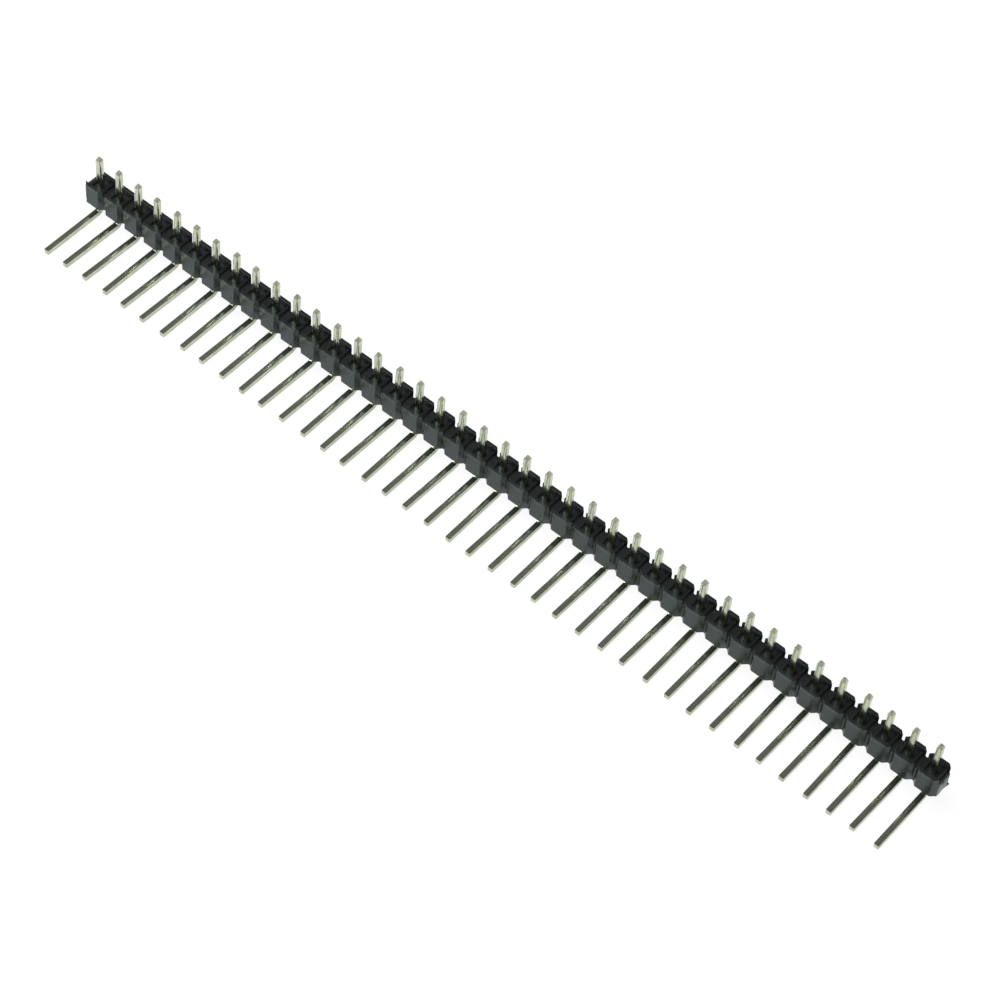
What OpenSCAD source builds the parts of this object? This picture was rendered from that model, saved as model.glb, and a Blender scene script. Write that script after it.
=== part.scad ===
// Pin header strip. One row of square right-angle pins in a moulded housing
// that breaks between any two positions. The face with the two lips, which
// seats on a circuit board, points up, so the solder tails stand up and the
// strip lies on its mating legs. X runs along the row, the legs point along
// -Y, and the origin is at the middle of the row, on the seat plane.

/* [Row] */
// Number of positions in the row
positions = 40; // [2:1:50]
// Distance from one pin to the next
pitch = 2.54; // [2.3:0.02:3.2]

/* [Housing] */
// Depth of the housing, from its front face to its back face
housing_depth = 2.42; // [2:0.02:3]
// Height of the housing, from its underside to the seat plane
housing_height = 2.48; // [1.6:0.02:5]
// Depth of the neck between two positions, front to back
neck_depth = 1.62; // [1.2:0.02:1.9]
// Length of the neck between two positions, along the row
neck_length = 0.16; // [0.1:0.02:0.6]
// Depth of each lip, front to back
lip_depth = 0.36; // [0.2:0.02:0.5]
// Drop of the neck and of each pin's pocket below the seat plane
channel_drop = 0.63; // [0.4:0.01:1]

/* [Pin pockets] */
// Length of the pocket around a pin, along the row
pocket_length = 1.24; // [0.8:0.02:1.4]
// Thickness of the low rib on each side of a pocket
rib_thickness = 0.28; // [0.16:0.02:0.36]
// Drop of the ribs' tops below the seat plane
rib_drop = 0.3; // [0.1:0.02:0.36]

/* [Pins] */
// Side of the square wire
pin_width = 0.54; // [0.4:0.02:0.7]
// Gap between the wire and each side of its hole, none in a press fit
pin_clearance = 0; // [0:0.01:0.03]
// Length of a solder tail above the seat plane
tail_length = 3.34; // [2:0.02:6]
// Length of the straight wire between the housing and the bend
bend_drop = 0.6; // [0:0.05:2]
// Inside radius of the bend
bend_radius = 0.5; // [0.1:0.05:1.5]
// Length of a mating leg, from the bend to its tip
leg_length = 6.85; // [3:0.05:12]

/* [Pin tips] */
// Length of the coined taper on a solder tail
tail_taper = 0.32; // [0.1:0.02:0.6]
// Width left at the end of a solder tail
tail_end_width = 0.2; // [0.1:0.02:0.38]
// Length of the coined taper on a mating leg
leg_taper = 0.42; // [0.2:0.02:1]
// Width left at the end of a mating leg
leg_end_width = 0.36; // [0.1:0.02:0.38]
// Furthest that a cut end lies from its stated length
cut_scatter = 0.05; // [0:0.01:0.1]

/* [Snapped ends] */
// How far the torn faces stand out of and sink behind the break plane
tear_depth = 0.07; // [0.02:0.01:0.12]
// Size of the pit that the tear pulls out of a neck
pit_size = 0.3; // [0.1:0.02:0.5]
// How far a torn burr stands out at the corner of a neck
burr_reach = 0.13; // [0.04:0.01:0.2]
// Height of a torn burr
burr_height = 0.3; // [0.1:0.02:0.6]

/* [Hidden] */
function pin_node(i) = str("pin_", i < 10 ? "0" : "", i);

row_length = positions * pitch;
// The 45-degree corners run from the flat faces down to the necks
corner = (housing_depth - neck_depth) / 2;
face_length = pitch - neck_length - 2 * corner;
channel_depth = housing_depth - 2 * lip_depth;
hole_width = pin_width + 2 * pin_clearance;
bend_centre_radius = bend_radius + pin_width / 2;
bend_z = -housing_height - bend_drop;
leg_z = bend_z - bend_centre_radius;

// Stretch past a face, so that a cut goes clean through it
through = 1;

// A torn face as points of [place across the neck, how far it stands out],
// both as shares: 1 is a corner of the neck, and 1 is tear_depth.
tear_plan_right = [[-1, 0], [-0.5, 0.4], [0.1, -0.3], [0.6, 0.3], [1, 0.2]];
tear_plan_left = [[-1, -0.1], [-0.6, 0.3], [0, -0.4], [0.5, 0.2], [1, 0]];
// The same down the neck: 0 is its top and 1 is its underside
tear_rise_right = [[0, -0.5], [0.2, 0.1], [0.45, -0.3], [0.7, 0.5], [1, 0.3]];
tear_rise_left = [[0, -0.3], [0.3, 0.4], [0.6, -0.2], [1, 0.2]];

function pin_x(i) = (i - (positions + 1) / 2) * pitch;

// A small offset that differs from pin to pin and repeats at no regular step
function scatter(i, turn) = cut_scatter * sin(turn * i);

// Half the plan outline, from left to right: y is negative at the front
function side_points(side) = [
    for (i = [1 : positions])
        each [
            [pin_x(i) - face_length / 2 - corner, side * neck_depth / 2],
            [pin_x(i) - face_length / 2, side * housing_depth / 2],
            [pin_x(i) + face_length / 2, side * housing_depth / 2],
            [pin_x(i) + face_length / 2 + corner, side * neck_depth / 2]
        ]
];

function reversed(list) = [for (k = [len(list) - 1 : -1 : 0]) list[k]];

module housing_plan() {
    half = row_length / 2 + tear_depth;
    front = concat([[-half, -neck_depth / 2]], side_points(-1), [[half, -neck_depth / 2]]);
    back = concat([[half, neck_depth / 2]], reversed(side_points(1)), [[-half, neck_depth / 2]]);
    polygon(concat(front, back));
}

// The channel that leaves the lips, the pockets and the necks between ribs
module seat_channel() {
    neck_cut = pitch - pocket_length - 2 * rib_thickness;
    translate([-row_length / 2 - through, -channel_depth / 2, -rib_drop])
        cube([row_length + 2 * through, channel_depth, rib_drop + through]);
    for (i = [1 : positions])
        translate([pin_x(i) - pocket_length / 2, -channel_depth / 2, -channel_drop])
            cube([pocket_length, channel_depth, channel_drop + through]);
    for (i = [1 : positions - 1])
        translate([pin_x(i) + (pitch - neck_cut) / 2, -channel_depth / 2, -channel_drop])
            cube([neck_cut, channel_depth, channel_drop + through]);
    for (side = [-1, 1])
        translate([side * (row_length / 2 + through / 2), 0, (through - channel_drop) / 2])
            cube([neck_cut + through, channel_depth, channel_drop + through], center = true);
}

module pin_holes() {
    for (i = [1 : positions])
        translate([pin_x(i), 0, -housing_height / 2])
            cube([hole_width, hole_width, housing_height + 2 * through], center = true);
}

// What the snap took away past the right end: the part beyond the torn face
module torn_away(plan, rise) {
    outer = row_length / 2 + 2 * through;
    neck_height = housing_height - channel_drop;
    plan_line = [
        for (p = plan) [row_length / 2 + p[1] * tear_depth, p[0] * neck_depth / 2]
    ];
    rise_line = [
        for (p = rise) [row_length / 2 + p[1] * tear_depth, -channel_drop - p[0] * neck_height]
    ];
    translate([0, 0, -housing_height - through])
        linear_extrude(housing_height + 2 * through)
            polygon(concat(
                [[outer, -housing_depth], [plan_line[0][0], -housing_depth]],
                plan_line,
                [[plan_line[len(plan_line) - 1][0], housing_depth], [outer, housing_depth]]
            ));
    rotate([90, 0, 0])
        linear_extrude(2 * housing_depth, center = true)
            polygon(concat(
                [[outer, through], [rise_line[0][0], through]],
                rise_line,
                [
                    [rise_line[len(rise_line) - 1][0], -housing_height - through],
                    [outer, -housing_height - through]
                ]
            ));
}

// The hollow that the tear pulled out below the top of the neck, off its middle
module pit() {
    translate([row_length / 2 + tear_depth / 2, -neck_depth / 7, -channel_drop - pit_size])
        rotate([30, 20, 45])
            cube([pit_size, pit_size, 1.6 * pit_size], center = true);
}

// A sliver of plastic that the tear left standing at the lower back corner
module burr() {
    root = 1.4 * burr_reach;
    translate([row_length / 2, neck_depth / 2, -housing_height])
        linear_extrude(burr_height)
            polygon([
                [-root, -root],
                [0.2 * burr_reach, -root],
                [burr_reach, burr_reach],
                [-root, 0]
            ]);
}

module housing() {
    color([0.13, 0.14, 0.15]) {
        difference() {
            translate([0, 0, -housing_height])
                linear_extrude(housing_height)
                    housing_plan();
            seat_channel();
            pin_holes();
            torn_away(tear_plan_right, tear_rise_right);
            pit();
            mirror([1, 0, 0])
                torn_away(tear_plan_left, tear_rise_left);
        }
        burr();
        mirror([1, 0, 0])
            burr();
    }
}

module taper_outline(length, taper, end_width) {
    polygon([
        [-pin_width / 2, 0],
        [pin_width / 2, 0],
        [pin_width / 2, length - taper],
        [end_width / 2, length],
        [-end_width / 2, length],
        [-pin_width / 2, length - taper]
    ]);
}

// Square wire along +Z from the origin, coined to a blunt point at its end
module wire(length, taper, end_width) {
    intersection() {
        rotate([90, 0, 0])
            linear_extrude(pin_width, center = true)
                taper_outline(length, taper, end_width);
        rotate([90, 0, 90])
            linear_extrude(pin_width, center = true)
                taper_outline(length, taper, end_width);
    }
}

// A quarter turn of square wire, from straight down to straight forward
module bend() {
    translate([0, -bend_centre_radius, bend_z])
        rotate([0, 90, 0])
            rotate_extrude(angle = 90, $fn = 48)
                translate([bend_centre_radius, 0])
                    square(pin_width, center = true);
}

module pin(i) {
    tail_top = tail_length + scatter(i, 137);
    leg_total = leg_length + scatter(i, 71);
    color([0.8, 0.83, 0.76])
        translate([pin_x(i), 0, 0])
            union() {
                translate([0, 0, bend_z])
                    wire(tail_top - bend_z, tail_taper, tail_end_width);
                bend();
                translate([0, -bend_centre_radius, leg_z])
                    rotate([90, 0, 0])
                        wire(leg_total, leg_taper, leg_end_width);
            }
}

housing();
for (i = [1 : positions])
    pin(i);
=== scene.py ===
"""Looks of the pin header strip: the moulded housing, the tinned pins and a plain pale studio."""

import math

import bmesh
import bpy
from mathutils import Matrix, Vector, noise


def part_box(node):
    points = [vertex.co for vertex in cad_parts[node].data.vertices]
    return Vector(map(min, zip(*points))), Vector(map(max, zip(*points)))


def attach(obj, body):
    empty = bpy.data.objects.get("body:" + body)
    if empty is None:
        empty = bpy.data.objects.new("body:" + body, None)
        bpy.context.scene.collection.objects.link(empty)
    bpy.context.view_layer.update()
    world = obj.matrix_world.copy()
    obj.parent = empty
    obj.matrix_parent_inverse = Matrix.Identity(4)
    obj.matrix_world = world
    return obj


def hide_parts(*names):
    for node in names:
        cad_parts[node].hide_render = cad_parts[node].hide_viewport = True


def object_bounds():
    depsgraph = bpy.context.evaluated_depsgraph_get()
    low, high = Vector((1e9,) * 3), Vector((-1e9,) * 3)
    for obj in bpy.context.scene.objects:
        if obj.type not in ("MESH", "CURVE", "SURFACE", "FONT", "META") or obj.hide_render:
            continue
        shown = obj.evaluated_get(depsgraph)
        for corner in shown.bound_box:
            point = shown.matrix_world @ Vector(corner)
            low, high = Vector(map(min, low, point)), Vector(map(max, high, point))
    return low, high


bl_info = {
    "name": "Pin header strip",
    "version": (1, 0, 0),
    "blender": (4, 5, 0),
    "location": "3D View > Sidebar > Pin header",
    "description": "Dresses a right-angle pin header strip around its CAD frame",
    "category": "Object",
}

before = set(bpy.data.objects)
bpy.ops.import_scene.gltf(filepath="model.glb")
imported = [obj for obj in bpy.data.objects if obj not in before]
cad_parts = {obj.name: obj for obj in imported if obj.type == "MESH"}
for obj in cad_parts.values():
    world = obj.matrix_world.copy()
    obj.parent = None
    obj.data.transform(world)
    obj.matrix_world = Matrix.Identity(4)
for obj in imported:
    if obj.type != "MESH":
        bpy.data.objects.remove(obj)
MM = 0.001
CAD_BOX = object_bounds()
ROOT = "root"
HOUSING = "housing"
PINS = sorted(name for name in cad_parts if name.startswith("pin_"))
PITCH = (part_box(PINS[-1])[0].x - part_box(PINS[0])[0].x) / (len(PINS) - 1)
SEAT_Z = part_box(HOUSING)[1].z
UNDERSIDE_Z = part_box(HOUSING)[0].z
END_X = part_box(HOUSING)[1].x

# The floor lies a little under the legs, so that the two never share a plane
FLOOR_Z = CAD_BOX[0].z - 0.01 * MM
# Drops below the seat plane: the ribs' tops, the floor of the pockets and necks, the parting line that
# carries a painted highlight
RIB_DROP = 0.3 * MM
POCKET_DROP = 0.63 * MM
PARTING_HIGHLIGHT_DROP = 0.24 * MM

# Name of the map that runs round and along each wire
WIRE_MAP = "wire"
ACROSS = Vector((1, 0, 0))
DOWN = Vector((0, 0, -1))
FRONT = Vector((0, -1, 0))
WHITE = (1.0, 1.0, 1.0, 1.0)


# ---------------------------------------------------------------- properties


class HousingProperties(bpy.types.PropertyGroup):
    edge_radius: bpy.props.FloatProperty(
        name="Edge radius",
        description="Radius that the mould leaves on the housing's edges",
        default=0.022 * MM, min=0.01 * MM, max=0.1 * MM,
        precision=6, subtype="DISTANCE", unit="LENGTH",
    )
    rib_radius: bpy.props.FloatProperty(
        name="Rib radius",
        description="Radius of the rounded tops of the ribs beside the pockets",
        default=0.11 * MM, min=0.01 * MM, max=0.13 * MM,
        precision=6, subtype="DISTANCE", unit="LENGTH",
    )
    tear_reach: bpy.props.FloatProperty(
        name="Tear reach",
        description="Depth from the outermost point of a snapped end that counts as torn",
        default=0.26 * MM, min=0.1 * MM, max=0.5 * MM,
        precision=6, subtype="DISTANCE", unit="LENGTH",
    )
    tear_relief: bpy.props.FloatProperty(
        name="Tear relief",
        description="Depth of the fine relief on the torn faces",
        default=0.014 * MM, min=0.0, max=0.1 * MM,
        precision=6, subtype="DISTANCE", unit="LENGTH",
    )
    plastic: bpy.props.FloatVectorProperty(
        name="Plastic",
        description="Colour of the moulded plastic",
        default=(0.0230, 0.0240, 0.0235), min=0.0, max=1.0, size=3, subtype="COLOR",
    )
    whitened: bpy.props.FloatVectorProperty(
        name="Stress-whitened plastic",
        description="Colour of the plastic where it tore",
        default=(0.86, 0.92, 0.93), min=0.0, max=1.0, size=3, subtype="COLOR",
    )
    roughness: bpy.props.FloatProperty(
        name="Roughness",
        description="Roughness of the moulded faces",
        default=0.22, min=0.05, max=1.0, subtype="FACTOR",
    )


class PinProperties(bpy.types.PropertyGroup):
    edge_radius: bpy.props.FloatProperty(
        name="Edge radius",
        description="Radius of the drawn wire's long edges",
        default=0.028 * MM, min=0.01 * MM, max=0.1 * MM,
        precision=6, subtype="DISTANCE", unit="LENGTH",
    )
    bend_radius: bpy.props.FloatProperty(
        name="Bend radius",
        description="Inside radius of the bend",
        default=0.5 * MM, min=0.2 * MM, max=1.0 * MM,
        precision=6, subtype="DISTANCE", unit="LENGTH",
    )
    bend_mark: bpy.props.FloatProperty(
        name="Bend mark",
        description="Distance from the wire's back face to the mark that the bending tool left",
        default=0.87 * MM, min=0.0, max=2.0 * MM,
        precision=6, subtype="DISTANCE", unit="LENGTH",
    )
    tail_taper: bpy.props.FloatProperty(
        name="Tail taper",
        description="Length of the coined end of a solder tail",
        default=0.32 * MM, min=0.1 * MM, max=1.0 * MM,
        precision=6, subtype="DISTANCE", unit="LENGTH",
    )
    tail_end: bpy.props.FloatProperty(
        name="Tail end",
        description="Width left at the end of a solder tail",
        default=0.25 * MM, min=0.1 * MM, max=0.5 * MM,
        precision=6, subtype="DISTANCE", unit="LENGTH",
    )
    leg_taper: bpy.props.FloatProperty(
        name="Leg taper",
        description="Length of the coined end of a mating leg",
        default=0.06 * MM, min=0.02 * MM, max=1.0 * MM,
        precision=6, subtype="DISTANCE", unit="LENGTH",
    )
    leg_end: bpy.props.FloatProperty(
        name="Leg end",
        description="Width left at the end of a mating leg",
        default=0.46 * MM, min=0.1 * MM, max=0.5 * MM,
        precision=6, subtype="DISTANCE", unit="LENGTH",
    )
    tail_lean: bpy.props.FloatProperty(
        name="Tail lean",
        description="Largest lean of a solder tail off the vertical",
        default=math.radians(0.7), min=0.0, max=math.radians(2),
        subtype="ANGLE", unit="ROTATION",
    )
    leg_swing: bpy.props.FloatProperty(
        name="Leg swing",
        description="Largest sideways swing of a mating leg",
        default=math.radians(0.8), min=0.0, max=math.radians(2),
        subtype="ANGLE", unit="ROTATION",
    )
    tin: bpy.props.FloatVectorProperty(
        name="Tin",
        description="Colour of the tin plating",
        default=(0.64, 0.69, 0.53), min=0.0, max=1.0, size=3, subtype="COLOR",
    )
    cut_brass: bpy.props.FloatVectorProperty(
        name="Cut brass",
        description="Colour of the bare metal on the cut tips",
        default=(0.34, 0.30, 0.19), min=0.0, max=1.0, size=3, subtype="COLOR",
    )
    roughness: bpy.props.FloatProperty(
        name="Roughness",
        description="Roughness of the plating",
        default=0.16, min=0.05, max=1.0, subtype="FACTOR",
    )


class StageProperties(bpy.types.PropertyGroup):
    azimuth: bpy.props.FloatProperty(
        name="Azimuth",
        description="Camera's turn round the strip, from straight in front towards the right end",
        default=math.radians(34.7), subtype="ANGLE", unit="ROTATION",
    )
    elevation: bpy.props.FloatProperty(
        name="Elevation",
        description="Camera's height above the horizon",
        default=math.radians(52.05), subtype="ANGLE", unit="ROTATION",
    )
    roll: bpy.props.FloatProperty(
        name="Roll",
        description="Camera's turn about its own line of sight",
        default=math.radians(6.62), subtype="ANGLE", unit="ROTATION",
    )
    distance: bpy.props.FloatProperty(
        name="Distance",
        description="Camera's distance from the point it looks at",
        default=0.2913, min=0.1, max=2.0, precision=4, subtype="DISTANCE", unit="LENGTH",
    )
    target: bpy.props.FloatVectorProperty(
        name="Target",
        description="Point that the camera looks at",
        default=(3.12 * MM, -2.58 * MM, -1.2 * MM), size=3, precision=6, subtype="TRANSLATION",
    )
    lens: bpy.props.FloatProperty(
        name="Lens",
        description="Focal length of the camera in millimetres",
        default=115.7, min=20.0, max=300.0,
    )
    floor_size: bpy.props.FloatProperty(
        name="Floor size",
        description="Side of the floor",
        default=3.0, min=0.5, max=10.0, subtype="DISTANCE", unit="LENGTH",
    )
    softbox_size: bpy.props.FloatProperty(
        name="Softbox size",
        description="Side of the large lamp overhead",
        default=0.24, min=0.02, max=3.0, subtype="DISTANCE", unit="LENGTH",
    )
    softbox_distance: bpy.props.FloatProperty(
        name="Softbox distance",
        description="Distance of the large lamp from the middle of the strip",
        default=0.3, min=0.1, max=3.0, subtype="DISTANCE", unit="LENGTH",
    )
    softbox_azimuth: bpy.props.FloatProperty(
        name="Softbox azimuth",
        description="Turn of the large lamp round the strip",
        default=math.radians(-75), subtype="ANGLE", unit="ROTATION",
    )
    softbox_elevation: bpy.props.FloatProperty(
        name="Softbox elevation",
        description="Height of the large lamp above the horizon",
        default=math.radians(66), subtype="ANGLE", unit="ROTATION",
    )
    softbox_power: bpy.props.FloatProperty(
        name="Softbox power",
        description="Power of the large lamp in watts",
        default=0.74, min=0.0, max=100.0,
    )
    fill_size: bpy.props.FloatProperty(
        name="Fill size",
        description="Side of the weak lamp off the right end",
        default=0.2, min=0.02, max=3.0, subtype="DISTANCE", unit="LENGTH",
    )
    fill_distance: bpy.props.FloatProperty(
        name="Fill distance",
        description="Distance of the weak lamp from the middle of the strip",
        default=0.5, min=0.1, max=3.0, subtype="DISTANCE", unit="LENGTH",
    )
    fill_azimuth: bpy.props.FloatProperty(
        name="Fill azimuth",
        description="Turn of the weak lamp round the strip",
        default=math.radians(70), subtype="ANGLE", unit="ROTATION",
    )
    fill_elevation: bpy.props.FloatProperty(
        name="Fill elevation",
        description="Height of the weak lamp above the horizon",
        default=math.radians(28), subtype="ANGLE", unit="ROTATION",
    )
    fill_power: bpy.props.FloatProperty(
        name="Fill power",
        description="Power of the weak lamp in watts",
        default=0.3, min=0.0, max=100.0,
    )
    room: bpy.props.FloatProperty(
        name="Room",
        description="Brightness of the walls around the floor",
        default=0.115, min=0.0, max=1.0, subtype="FACTOR",
    )


# ------------------------------------------------------------------- shading


class Signal:
    """An output socket that Python's own operators can be used on."""

    def __init__(self, board, socket):
        self.board = board
        self.socket = socket

    def _math(self, operation, first, second):
        return self.board.node("ShaderNodeMath", {"operation": operation}, {0: first, 1: second})

    def __add__(self, other):
        return self._math("ADD", self, other)

    def __radd__(self, other):
        return self._math("ADD", other, self)

    def __sub__(self, other):
        return self._math("SUBTRACT", self, other)

    def __rsub__(self, other):
        return self._math("SUBTRACT", other, self)

    def __mul__(self, other):
        return self._math("MULTIPLY", self, other)

    def __rmul__(self, other):
        return self._math("MULTIPLY", other, self)

    def __neg__(self):
        return 0.0 - self

    def __abs__(self):
        return self._math("ABSOLUTE", self, 0.0)

    def at_most(self, other):
        return self._math("MINIMUM", self, other)

    def at_least(self, other):
        return self._math("MAXIMUM", self, other)

    def ramp(self, low, high):
        """0 below low and 1 above high, with a smooth step between them."""
        settings = {"interpolation_type": "SMOOTHSTEP"}
        links = {"Value": self, "From Min": low, "From Max": high}
        return self.board.node("ShaderNodeMapRange", settings, links)


class Board:
    """The node tree of one material or world, filled by node()."""

    def __init__(self, tree):
        self.tree = tree
        self.tree.nodes.clear()

    def node(self, kind, settings=None, links=None, output=0):
        """A new node. Settings are set first, then its sockets get their values or links."""
        made = self.tree.nodes.new(kind)
        for key, value in (settings or {}).items():
            setattr(made, key, value)
        for key, value in (links or {}).items():
            if isinstance(value, Signal):
                self.tree.links.new(value.socket, made.inputs[key])
            else:
                made.inputs[key].default_value = value
        return Signal(self, made.outputs[output]) if made.outputs else None

    def split(self, vector):
        """X, Y and Z of a vector as signals."""
        first = self.node("ShaderNodeSeparateXYZ", None, {0: vector})
        return [Signal(self, socket) for socket in first.socket.node.outputs]

    def place(self):
        """The point on the surface in the row frame, and its X, Y and Z as signals."""
        point = self.node("ShaderNodeTexCoord", output="Object")
        return point, *self.split(point)

    def facing(self):
        """X, Y and Z of the true surface direction as signals."""
        return self.split(self.node("ShaderNodeNewGeometry", output="True Normal"))

    def mix(self, factor, first, second):
        """A colour between first and second."""
        links = {0: factor, 6: first, 7: second}
        return self.node("ShaderNodeMix", {"data_type": "RGBA"}, links, output=2)

    def clouds(self, vector, scale, detail, rough):
        """Soft noise between 0 and 1, with about scale swells to one unit of the vector."""
        settings = {"noise_dimensions": "3D"}
        links = {"Vector": vector, "Scale": scale, "Detail": detail, "Roughness": rough}
        return self.node("ShaderNodeTexNoise", settings, links, output="Fac")

    def stretched(self, vector, stretch):
        settings = {"operation": "MULTIPLY"}
        return self.node("ShaderNodeVectorMath", settings, {0: vector, 1: stretch})

    def bump(self, height, strength, distance, under=None):
        """The surface direction over a relief, which may lie on another one."""
        links = {"Strength": strength, "Distance": distance, "Height": height}
        if under is not None:
            links["Normal"] = under
        return self.node("ShaderNodeBump", None, links)

    def surface(self, shader):
        self.node("ShaderNodeOutputMaterial", None, {"Surface": shader})


def rgba(colour, share=1.0):
    """A colour for a socket, darkened to a share of itself."""
    return (*[share * channel for channel in colour[:3]], 1.0)


def material(name):
    """A new material and the board that its nodes go on."""
    made = bpy.data.materials.new(name)
    made.use_nodes = True
    return made, Board(made.node_tree)


def snapped_masks(props, x, nx):
    """Where the plastic lies near a snapped end, and where it is the torn face itself."""
    reach = props.tear_reach
    bruise = 0.25 * MM
    near_end = abs(x).ramp(END_X - reach - bruise, END_X - 0.4 * reach)
    at_end = abs(x).ramp(END_X - 1.3 * reach, END_X - 1.1 * reach)
    return near_end, abs(nx).ramp(0.72, 0.9) * at_end


def parting_highlight_mask(board, x, ny, below):
    """The line that the mould's halves left along part of each front face, painted paler as a thin
    highlight.
    """
    on_line = 1.0 - abs(below - PARTING_HIGHLIGHT_DROP).ramp(0.02 * MM, 0.05 * MM)
    on_front = (-ny).ramp(0.9, 0.98)
    along = board.node("ShaderNodeMath", {"operation": "WRAP"}, {0: x, 1: PITCH, 2: 0.0})
    return on_line * on_front * (1.0 - along.ramp(0.6 * PITCH, 0.72 * PITCH))


def recess_fill_mask(y, nx, ny, below):
    """The walls that stand between the seat plane and the floor of the pockets, painted paler to lift
    the shade that falls in them.
    """
    past_floor = below.ramp(POCKET_DROP + 0.01 * MM, POCKET_DROP + 0.05 * MM)
    sunk = below.ramp(0.02 * MM, 0.08 * MM) * (1.0 - past_floor)
    rib_wall = abs(nx).ramp(0.8, 0.95)
    back_lip_wall = (-ny).ramp(0.8, 0.95) * y.ramp(0.2 * MM, 0.4 * MM)
    return sunk * rib_wall.at_least(back_lip_wall)


def moulded_plastic(props):
    """Satin black moulding plastic, stress-whitened where an end was snapped off."""
    made, board = material("moulded_plastic")
    point, x, y, z = board.place()
    nx, ny, _ = board.facing()
    below = SEAT_Z - z
    white = rgba(props.whitened)

    near_end, torn = snapped_masks(props, x, nx)
    drawn_down = board.stretched(point, (1.0, 1.0, 0.45))
    along_row = board.stretched(point, (0.35, 1.0, 1.0))
    fibre = board.clouds(drawn_down, scale=9000.0, detail=4.0, rough=0.7)
    patch = board.clouds(point, scale=2600.0, detail=3.0, rough=0.6)
    flow = board.clouds(along_row, scale=900.0, detail=3.0, rough=0.55)
    grain = board.clouds(point, scale=26000.0, detail=2.0, rough=0.6)

    # Flow lines in the black, and a bruise beside each break; the other two shares are the painted
    # highlight on the parting line and the painted light that lifts the shade on the pocket walls
    bruised, parting_highlight, painted_fill = 0.06, 0.14, 0.045
    black = board.mix(flow, rgba(props.plastic, 0.8), rgba(props.plastic, 1.25))
    black = board.mix(near_end * bruised * fibre, black, white)

    # The torn faces whiten in fibres, most of all low down and towards the front
    pale = board.mix(fibre.ramp(0.35, 0.7), rgba(props.whitened, 0.65), white)
    towards_back = y.ramp(-0.7 * MM, 0.5 * MM)
    low = below.ramp(0.8 * MM, 1.6 * MM) * (1.0 - 0.35 * towards_back)
    pale = board.mix(low, rgba(props.whitened, 0.2), pale)
    colour = board.mix(torn * patch.ramp(0.25, 0.42), black, pale)

    # The parting line's painted highlight and the painted light on the pocket walls, which lifts their
    # shade, are only a little paler than the rest
    colour = board.mix(parting_highlight_mask(board, x, ny, below) * parting_highlight, colour, white)
    colour = board.mix(recess_fill_mask(y, nx, ny, below) * painted_fill, colour, white)

    roughness = props.roughness + 0.16 * (flow - 0.5) + 0.08 * (grain - 0.5) + 0.35 * torn
    height = grain * 0.6 + flow * 0.8 + fibre * torn * 6.0
    links = {
        "Base Color": colour,
        "Roughness": roughness.at_least(0.1).at_most(0.95),
        "IOR": 1.54,
        "Specular Tint": (0.72, 0.97, 1.0, 1.0),
        "Normal": board.bump(height, strength=0.15, distance=0.002 * MM),
    }
    board.surface(board.node("ShaderNodeBsdfPrincipled", None, links))
    return made


def tinned_wire(props):
    """Dull bright tin over drawn brass wire, with bare metal on the cut tips."""
    made, board = material("tinned_wire")
    point, _, y, z = board.place()
    along = board.node("ShaderNodeUVMap", {"uv_map": WIRE_MAP})

    # Drawing streaks run along each wire, and the place along the row sets the wires apart
    lengthwise = board.stretched(along, (60.0, 1.2, 1.0))
    by_wire = board.stretched(point, (900.0, 0.0, 0.0))
    drawn = board.node("ShaderNodeVectorMath", {"operation": "ADD"}, {0: lengthwise, 1: by_wire})
    streaks = board.clouds(drawn, scale=1.0, detail=3.0, rough=0.6)
    blotches = board.clouds(point, scale=1500.0, detail=3.0, rough=0.55)
    pores = board.clouds(point, scale=14000.0, detail=2.0, rough=0.6)

    # The tails' ends show more bare, ground metal than the legs' ends
    tail_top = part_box(PINS[0])[1].z
    leg_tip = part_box(PINS[0])[0].y
    on_tail = z.ramp(tail_top - 1.25 * props.tail_taper, tail_top - 0.7 * props.tail_taper)
    on_leg = 1.0 - y.ramp(leg_tip + 0.4 * props.leg_taper, leg_tip + 1.0 * props.leg_taper)
    worn = 0.55 + 0.45 * streaks.ramp(0.35, 0.6)
    cut = on_tail.at_least(on_leg * 0.4) * worn
    ground = on_tail.at_least(on_leg * 0.15) * worn

    plated = board.mix(blotches.ramp(0.35, 0.7), rgba(props.tin), rgba(props.tin, 0.82))
    colour = board.mix(cut * 0.22, plated, rgba(props.cut_brass))
    roughness = props.roughness + 0.06 * (streaks - 0.5) + 0.05 * (blotches - 0.5) + 0.3 * ground

    # The step that the bending tool pressed into the wire under the housing
    mark_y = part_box(PINS[0])[1].y - props.bend_mark
    under_housing = 1.0 - z.ramp(UNDERSIDE_Z + 0.08 * MM, UNDERSIDE_Z + 0.18 * MM)
    step = y.ramp(mark_y - 0.16 * MM, mark_y + 0.1 * MM) * under_housing
    pressed = board.bump(step, strength=1.0, distance=0.035 * MM)
    fine = board.bump(streaks * 1.0 + pores * 0.35, strength=0.05, distance=0.002 * MM, under=pressed)
    links = {
        "Base Color": colour,
        "Metallic": 0.96,
        "Roughness": roughness.at_least(0.08).at_most(0.9),
        "Normal": fine,
    }
    board.surface(board.node("ShaderNodeBsdfPrincipled", None, links))
    return made


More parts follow.
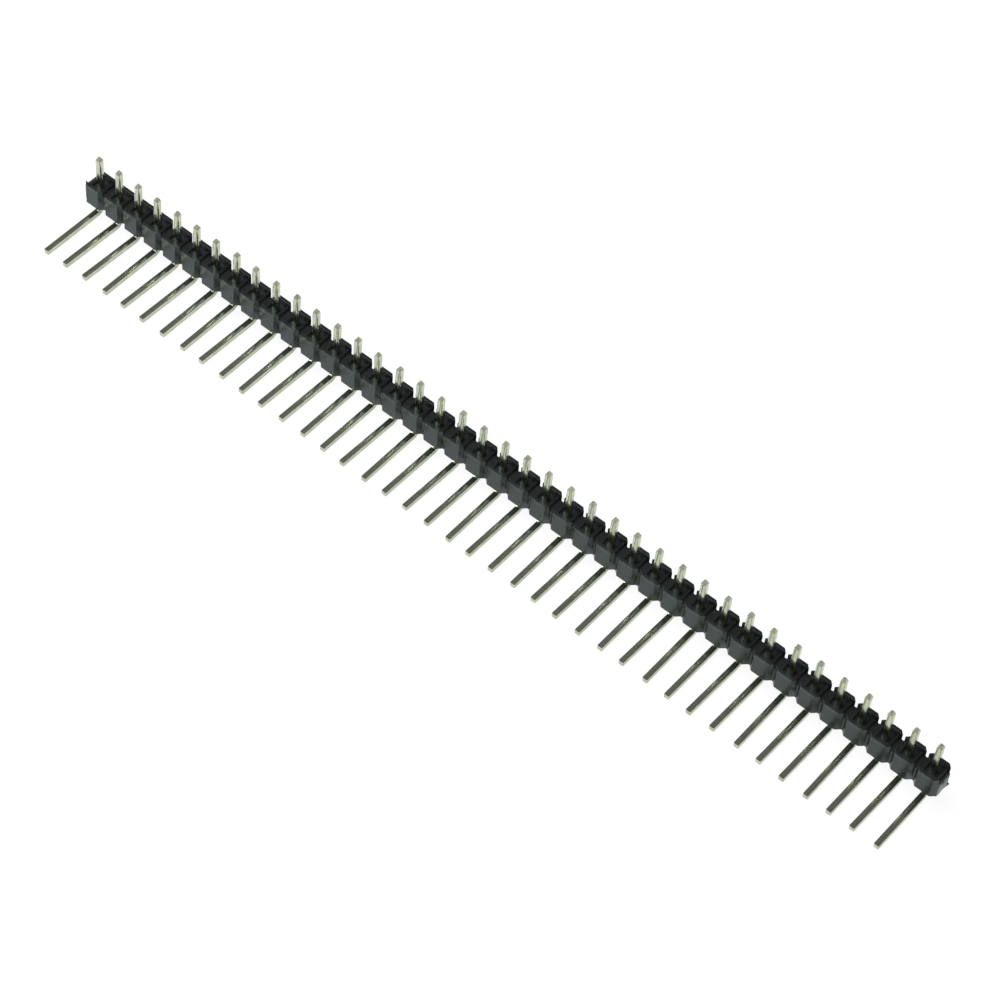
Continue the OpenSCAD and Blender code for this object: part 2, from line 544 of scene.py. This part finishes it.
def pale_floor():
    """White paper that the camera sees nearly burnt out, with a faint shadow, and mirrors see pale."""
    made, board = material("pale_floor")
    camera, glossy, through = [
        board.node("ShaderNodeLightPath", output=name)
        for name in ("Is Camera Ray", "Is Glossy Ray", "Is Transmission Ray")
    ]
    seen, mirrored = 0.93, 0.56
    glow = camera * seen + glossy.at_least(through) * mirrored
    to_light, to_camera = rgba((0.45, 0.45, 0.45)), rgba((0.14, 0.14, 0.14))
    paper = board.mix(camera, to_light, to_camera)
    lit = board.node("ShaderNodeBsdfDiffuse", None, {"Color": paper})
    burnt = board.node("ShaderNodeEmission", None, {"Color": WHITE, "Strength": glow})
    board.surface(board.node("ShaderNodeAddShader", None, {0: lit, 1: burnt}))
    return made


# ------------------------------------------------------------------ geometry


def new_object(name, data):
    """A new object in the scene's own collection."""
    made = bpy.data.objects.new(name, data)
    bpy.context.scene.collection.objects.link(made)
    return made


def new_mesh(name, built):
    """The mesh of what was built, which is then let go."""
    mesh = bpy.data.meshes.new(name)
    built.to_mesh(mesh)
    built.free()
    return mesh


def new_piece(name, mesh, made_of, *nodes):
    """A finished piece of the strip that stands for its CAD nodes."""
    piece = new_object(name, mesh)
    mesh.materials.clear()
    mesh.materials.append(made_of)
    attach(piece, ROOT)
    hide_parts(*nodes)
    return piece


def even_shading(piece):
    """Flat faces stay flat and only the rounded edges between them turn the light."""
    for face in piece.data.polygons:
        face.use_smooth = True
    smooth = piece.modifiers.new("even_shading", "WEIGHTED_NORMAL")
    smooth.keep_sharp = True
    smooth.weight = 100


def at_tear(vertex, props):
    return abs(vertex.co.x) > END_X - props.tear_reach


def moulded_edges(built, props):
    """The outward corners that the mould rounds, away from the torn ends."""
    corner = math.radians(20)
    return [
        edge for edge in built.edges
        if edge.is_manifold and edge.is_convex and edge.calc_face_angle() > corner
        and not any(at_tear(vertex, props) for vertex in edge.verts)
    ]


def on_rib_top(edge):
    """Whether an edge runs from front to back along the top of a rib."""
    low, high = sorted(vertex.co.z for vertex in edge.verts)
    run = edge.verts[0].co - edge.verts[1].co
    along_y = abs(run.y) > 5 * abs(run.x)
    level = high - low < 0.001 * MM
    return along_y and level and abs(SEAT_Z - high - RIB_DROP) < 0.1 * MM


def round_off(built, edges, radius, segments):
    bmesh.ops.bevel(
        built, geom=edges, offset=radius, offset_type="OFFSET", segments=segments,
        profile=0.5, affect="EDGES", clamp_overlap=False,
    )


def torn_faces(built, props):
    """The faces that look out of a snapped end."""
    return [
        face for face in built.faces
        if abs(face.normal.x) > 0.5 and all(at_tear(vertex, props) for vertex in face.verts)
    ]


def roughen_tears(built, props):
    """Split the torn faces finely and sink every point of the tear by an uneven depth."""
    swells_to_a_metre, cuts = 9000.0, 5
    bmesh.ops.triangulate(built, faces=torn_faces(built, props))
    edges = list({edge for face in torn_faces(built, props) for edge in face.edges})
    bmesh.ops.subdivide_edges(built, edges=edges, cuts=cuts, use_grid_fill=True)
    for vertex in built.verts:
        if not at_tear(vertex, props):
            continue
        rough = noise.fractal(vertex.co * swells_to_a_metre, 1.0, 2.0, 3)
        inward = -math.copysign(1.0, vertex.co.x)
        vertex.co.x += inward * props.tear_relief * min(1.0, max(0.0, 0.5 + rough))


def moulding_mesh(props):
    """The CAD housing with its moulded edges rounded and its torn ends roughened."""
    built = bmesh.new()
    built.from_mesh(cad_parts[HOUSING].data)
    bmesh.ops.remove_doubles(built, verts=built.verts, dist=0.0001 * MM)
    bmesh.ops.dissolve_limit(
        built, angle_limit=math.radians(0.5), verts=built.verts, edges=built.edges
    )
    ribs = [edge for edge in moulded_edges(built, props) if on_rib_top(edge)]
    round_off(built, ribs, props.rib_radius, segments=5)
    round_off(built, moulded_edges(built, props), props.edge_radius, segments=2)
    roughen_tears(built, props)
    bmesh.ops.recalc_face_normals(built, faces=built.faces)
    return new_mesh("housing_moulding", built)


def wire_section(width, edge_radius):
    """Points round the square wire's cross-section, with rounded corners, and no closing point."""
    steps = 3
    inner = width / 2 - edge_radius
    points = []
    for turn in range(4):
        for step in range(steps + 1):
            angle = math.radians(90 * turn + 90 * step / steps)
            centre = Matrix.Rotation(math.radians(90 * turn), 2) @ Vector((inner, inner))
            points.append(centre + edge_radius * Vector((math.cos(angle), math.sin(angle))))
    return points


def pin_path(low, high, props):
    """Stations from the tail's tip to the leg's tip: (centre, direction along the wire, width)."""
    straight, turns = 12, 12
    width = high.x - low.x
    x = (low.x + high.x) / 2
    y = high.y - width / 2
    radius = props.bend_radius + width / 2
    leg_z = low.z + width / 2
    top, bottom = high.z - props.tail_taper, leg_z + radius
    stations = [
        (Vector((x, y, high.z)), DOWN, props.tail_end),
        (Vector((x, y, top)), DOWN, width),
    ]
    for step in range(1, straight):
        stations.append((Vector((x, y, top + (bottom - top) * step / straight)), DOWN, width))
    for step in range(turns + 1):
        angle = math.radians(90 * step / turns)
        place = (x, y - radius + radius * math.cos(angle), bottom - radius * math.sin(angle))
        direction = DOWN * math.cos(angle) + FRONT * math.sin(angle)
        stations.append((Vector(place), direction, width))
    start, end = y - radius, low.y + props.leg_taper
    for step in range(1, straight + 1):
        stations.append((Vector((x, start + (end - start) * step / straight, leg_z)), FRONT, width))
    stations.append((Vector((x, low.y, leg_z)), FRONT, props.leg_end))
    return stations


def sweep_wire(built, section, stations, width):
    """Join rings of the section along the stations, with both ends closed and their edges sharp."""
    wire_map = built.loops.layers.uv.new(WIRE_MAP)
    rings, runs = [], []
    run, last = 0.0, stations[0][0]
    for centre, direction, wide in stations:
        run += (centre - last).length
        last = centre
        runs.append(run)
        side = direction.cross(ACROSS)
        share = wide / width
        rings.append([
            built.verts.new(centre + (ACROSS * point.x + side * point.y) * share)
            for point in section
        ])
    count = len(section)
    for k, (ring, after) in enumerate(zip(rings, rings[1:])):
        for j in range(count):
            next_j = (j + 1) % count
            face = built.faces.new((ring[j], ring[next_j], after[next_j], after[j]))
            corners = ((j, k), (j + 1, k), (j + 1, k + 1), (j, k + 1))
            for loop, (around, along) in zip(face.loops, corners):
                loop[wire_map].uv = (around / count, runs[along] / MM)
    built.faces.new(list(reversed(rings[0])))
    built.faces.new(rings[-1])
    for ring in (rings[0], rings[1], rings[-2], rings[-1]):
        for start, end in zip(ring, ring[1:] + ring[:1]):
            built.edges.get((start, end)).smooth = False


def push_off_true(built, low, high, props, lean, swing):
    """Lean the tail above the housing, and swing the leg in front of its bend."""
    width = high.x - low.x
    leg_root_y = high.y - width / 2 - props.bend_radius - width
    bend_z = low.z + width + props.bend_radius
    for vertex in built.verts:
        above = vertex.co.z - SEAT_Z
        if above > 0:
            vertex.co.x += above * math.tan(lean[0])
            vertex.co.y += above * math.tan(lean[1])
        ahead = leg_root_y - vertex.co.y
        if ahead > 0 and vertex.co.z < bend_z:
            vertex.co.x += ahead * math.tan(swing)


def off_true(number, props):
    """A tail's lean along X and Y and a leg's swing, which differ from pin to pin."""
    lean = (
        props.tail_lean * math.sin(2.4 * number + 1.0),
        props.tail_lean * math.sin(4.1 * number),
    )
    swing = props.leg_swing * math.sin(1.9 * number + 0.6 * math.sin(5.3 * number))
    return lean, swing


def pin_mesh(name, low, high, props, lean, swing):
    """Square wire swept along its bent path, its tips coined, its ends a little off true."""
    width = high.x - low.x
    built = bmesh.new()
    sweep_wire(built, wire_section(width, props.edge_radius), pin_path(low, high, props), width)
    push_off_true(built, low, high, props, lean, swing)
    bmesh.ops.recalc_face_normals(built, faces=built.faces)
    return new_mesh(name, built)


def heading(azimuth, elevation):
    """The unit vector from the strip towards something at that azimuth and elevation."""
    level = math.cos(elevation)
    return Vector((math.sin(azimuth) * level, -math.cos(azimuth) * level, math.sin(elevation)))


# ----------------------------------------------------------------- operators


class PINHEADER_OT_housing(bpy.types.Operator):
    """Build the moulded break-away housing with its rounded edges and torn ends"""

    bl_idname = "pinheader.housing"
    bl_label = "Housing"

    def execute(self, context):
        props = context.scene.pinheader_housing
        plastic = moulded_plastic(props)
        new_piece("housing_moulding", moulding_mesh(props), plastic, HOUSING)
        return {"FINISHED"}


class PINHEADER_OT_pins(bpy.types.Operator):
    """Build the row of bent square pins with coined tips"""

    bl_idname = "pinheader.pins"
    bl_label = "Pins"

    def execute(self, context):
        props = context.scene.pinheader_pins
        tin = tinned_wire(props)
        for number, node in enumerate(PINS, start=1):
            low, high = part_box(node)
            lean, swing = off_true(number, props)
            mesh = pin_mesh(f"wire_{node}", low, high, props, lean, swing)
            even_shading(new_piece(f"wire_{node}", mesh, tin, node))
        return {"FINISHED"}


class PINHEADER_OT_stage(bpy.types.Operator):
    """Set the floor, the two lamps, the room and the camera"""

    bl_idname = "pinheader.stage"
    bl_label = "Stage"

    def execute(self, context):
        props = context.scene.pinheader_stage
        self.lay_floor(props)
        overhead = props.softbox_distance * heading(props.softbox_azimuth, props.softbox_elevation)
        beside = props.fill_distance * heading(props.fill_azimuth, props.fill_elevation)
        self.hang_lamp("softbox", props.softbox_size, props.softbox_power, overhead)
        self.hang_lamp("fill", props.fill_size, props.fill_power, beside)
        self.paint_room(context, props)
        self.aim_camera(context, props)
        context.scene.view_settings.view_transform = "Standard"
        return {"FINISHED"}

    def lay_floor(self, props):
        built = bmesh.new()
        bmesh.ops.create_grid(built, x_segments=1, y_segments=1, size=props.floor_size / 2)
        mesh = new_mesh("floor", built)
        mesh.materials.append(pale_floor())
        floor = new_object("floor", mesh)
        floor.location = (0.0, 0.0, FLOOR_Z)

    def hang_lamp(self, name, size, power, place):
        """A square lamp at place, turned to the middle of the strip."""
        lamp = bpy.data.lights.new(name, "AREA")
        lamp.shape = "SQUARE"
        lamp.size = size
        lamp.energy = power
        turn = place.to_track_quat("Z", "Y").to_matrix().to_4x4()
        new_object(name, lamp).matrix_world = Matrix.Translation(place) @ turn

    def paint_room(self, context, props):
        """Dim walls light the strip, and the camera sees them white."""
        room = bpy.data.worlds.new("room")
        room.use_nodes = True
        context.scene.world = room
        board = Board(room.node_tree)
        camera_ray = board.node("ShaderNodeLightPath", output="Is Camera Ray")
        wall = rgba((props.room, props.room, props.room))
        colour = board.mix(camera_ray, wall, WHITE)
        back = board.node("ShaderNodeBackground", None, {"Color": colour, "Strength": 1.0})
        board.node("ShaderNodeOutputWorld", None, {"Surface": back})

    def aim_camera(self, context, props):
        lens = bpy.data.cameras.new("camera")
        lens.lens = props.lens
        lens.clip_start = 0.01
        lens.clip_end = 10.0
        back = heading(props.azimuth, props.elevation)
        right = Vector((math.cos(props.azimuth), math.sin(props.azimuth), 0.0))
        up = back.cross(right)
        turn = Matrix.Rotation(props.roll, 3, back)
        axes = Matrix((turn @ right, turn @ up, back)).transposed().to_4x4()
        place = Vector(props.target) + props.distance * back
        camera = new_object("camera", lens)
        camera.matrix_world = Matrix.Translation(place) @ axes
        context.scene.camera = camera


class PINHEADER_PT_panel(bpy.types.Panel):
    """Lists the steps that dress the strip"""

    bl_idname = "PINHEADER_PT_panel"
    bl_label = "Pin header strip"
    bl_space_type = "VIEW_3D"
    bl_region_type = "UI"
    bl_category = "Pin header"

    def draw(self, context):
        for name, operator in STEPS:
            box = self.layout.box()
            props = getattr(context.scene, name)
            for key in props.bl_rna.properties.keys():
                if key not in {"rna_type", "name"}:
                    box.prop(props, key)
            box.operator(operator)


STEPS = (
    ("pinheader_housing", "pinheader.housing"),
    ("pinheader_pins", "pinheader.pins"),
    ("pinheader_stage", "pinheader.stage"),
)
GROUPS = {
    "pinheader_housing": HousingProperties,
    "pinheader_pins": PinProperties,
    "pinheader_stage": StageProperties,
}
CLASSES = (
    *GROUPS.values(),
    PINHEADER_OT_housing,
    PINHEADER_OT_pins,
    PINHEADER_OT_stage,
    PINHEADER_PT_panel,
)


def register():
    for cls in CLASSES:
        bpy.utils.register_class(cls)
    for name, group in GROUPS.items():
        setattr(bpy.types.Scene, name, bpy.props.PointerProperty(type=group))


def unregister():
    for name in GROUPS:
        delattr(bpy.types.Scene, name)
    for cls in reversed(CLASSES):
        bpy.utils.unregister_class(cls)


def main():
    register()
    bpy.ops.pinheader.housing()
    bpy.ops.pinheader.pins()
    bpy.ops.pinheader.stage()


if __name__ == "__main__":
    main()
